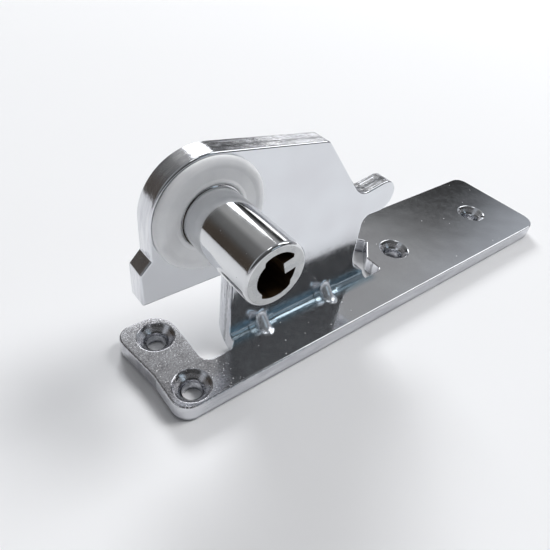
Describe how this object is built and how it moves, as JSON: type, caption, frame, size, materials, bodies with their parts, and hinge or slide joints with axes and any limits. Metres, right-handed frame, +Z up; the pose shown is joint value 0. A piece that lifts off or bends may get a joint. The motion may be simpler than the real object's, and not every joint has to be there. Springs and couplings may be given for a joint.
{
  "type": "hinge bracket",
  "caption": "Folded chrome-plated offset hinge bracket: a flat screw-down base strip with an upright tab that carries a hollow keyed hinge pin and a loose white thrust washer.",
  "frame": {"origin": "on the underside of the base, midway between the two screw holes of the left-hand leg", "axes": "+X along the base strip to its far end, +Y from its front edge to its back edge, +Z up along the tab; the hinge pin points along -Y"},
  "size_m": [0.1332, 0.0396, 0.0518],
  "materials": {
    "bracket_chrome": "bright chrome plate over stamped steel, with rough sheared edges",
    "pin_chrome": "bright chrome plate over turned steel",
    "washer_nylon": "milky moulded nylon"
  },
  "bodies": {
    "bracket": {"bracket": "bracket_chrome", "hinge_pin": "pin_chrome"},
    "washer": {"thrust_washer": "washer_nylon"}
  },
  "joints": [
    {"name": "washer_spin", "type": "hinge", "parent": "bracket", "child": "washer", "pos_m": [0.0078, -0.0017, 0.0403], "axis": [0, -1, 0], "continuous": true}
  ]
}
